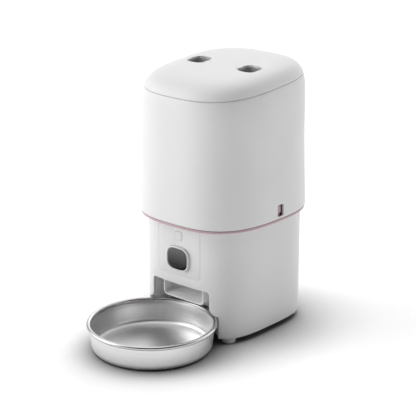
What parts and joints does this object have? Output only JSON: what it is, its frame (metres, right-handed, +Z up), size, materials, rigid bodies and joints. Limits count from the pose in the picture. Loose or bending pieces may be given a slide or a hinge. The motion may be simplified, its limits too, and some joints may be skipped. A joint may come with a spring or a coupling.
{
  "type": "automatic pet feeder",
  "caption": "Upright dry-food feeder: a domed lift-off hopper over a base with a rotor, a front chute and a round steel bowl in a bay.",
  "frame": {"origin": "on the floor, at the middle of the whole footprint (body and bowl)", "axes": "+Z up, -Y the front where the bowl stands, +X the feeder's left-hand side seen from behind, so the right of a front view"},
  "size_m": [0.172, 0.3034, 0.326],
  "materials": {
    "white_shell": "fine satin moulded white ABS",
    "white_part": "satin white plastic, inner parts",
    "foot": "soft white rubber",
    "pink_trim": "dusty pink satin plastic",
    "grey_part": "dark grey plastic",
    "bin": "grey food-safe plastic",
    "dark_glass": "polished black window, mirror-like",
    "silicone": "grey food-grade silicone",
    "screw": "zinc plated",
    "shaft": "ground steel",
    "motor_case": "plated steel can",
    "board": "green solder mask",
    "cell_wrap": "dark printed sleeve",
    "bowl_steel": "satin stainless steel with a polished rolled rim"
  },
  "bodies": {
    "base": {"base_shell": "white_shell", "front_panel": "white_shell", "camera_bezel": "white_shell", "camera_glass": "dark_glass", "camera_lens": "grey_part", "front_board": "board", "button_switch": "grey_part", "bottom_plate": "white_part", "bay_liner": "white_part", "chute": "white_part", "battery_box": "white_part", "battery_cell_1": "cell_wrap", "battery_cell_2": "cell_wrap", "battery_cell_3": "cell_wrap", "foot_front_left": "foot", "foot_front_right": "foot", "foot_rear_left": "foot", "foot_rear_right": "foot", "plate_screw_1": "screw", "plate_screw_2": "screw", "plate_screw_3": "screw", "plate_screw_4": "screw", "trim_tray": "pink_trim", "rotor_housing": "grey_part", "gear_motor": "motor_case", "main_board": "board", "speaker": "grey_part", "power_inlet": "grey_part"},
    "bowl": {"bowl": "bowl_steel"},
    "feed_button": {"feed_button": "white_shell"},
    "battery_door": {"battery_door": "white_shell"},
    "release_tab_left": {"release_tab_left": "pink_trim"},
    "release_tab_right": {"release_tab_right": "pink_trim"},
    "rotor": {"rotor": "silicone", "rotor_shaft": "shaft", "agitator": "silicone"},
    "hopper": {"housing": "white_shell", "hopper_bin": "bin"},
    "lid": {"lid_shell": "white_shell", "finger_well_left": "grey_part", "finger_well_right": "grey_part", "lid_plate": "white_part", "lid_seal": "silicone", "desiccant_box": "white_part", "desiccant_cap": "white_part"}
  },
  "joints": [
    {"name": "hopper_lift", "type": "slide", "parent": "base", "child": "hopper", "axis": [0, 0, 1], "range_m": [0, 0.06]},
    {"name": "lid_lift", "type": "slide", "parent": "hopper", "child": "lid", "axis": [0, 0, 1], "range_m": [0, 0.05]},
    {"name": "rotor_spin", "type": "hinge", "parent": "base", "child": "rotor", "pos_m": [0, 0.06783, 0.095], "axis": [0, 0, 1], "continuous": true},
    {"name": "feed_button_press", "type": "slide", "parent": "base", "child": "feed_button", "axis": [0, 1, 0], "range_m": [0, 0.0011], "stiffness_N_per_m": 400},
    {"name": "release_tab_right_press", "type": "hinge", "parent": "base", "child": "release_tab_right", "pos_m": [0.0806, 0.05983, 0.1473], "axis": [0, -1, 0], "range_deg": [0, 9], "stiffness_Nm_per_rad": 0.3},
    {"name": "release_tab_left_press", "type": "hinge", "parent": "base", "child": "release_tab_left", "pos_m": [-0.0806, 0.05983, 0.1473], "axis": [0, 1, 0], "range_deg": [0, 9], "stiffness_Nm_per_rad": 0.3},
    {"name": "battery_door_swing", "type": "hinge", "parent": "base", "child": "battery_door", "pos_m": [0, 0.14183, 0.013], "axis": [-1, 0, 0], "range_deg": [0, 85]},
    {"name": "bowl_pull_out", "type": "slide", "parent": "base", "child": "bowl", "axis": [0, -1, 0], "range_m": [0, 0.15]}
  ]
}
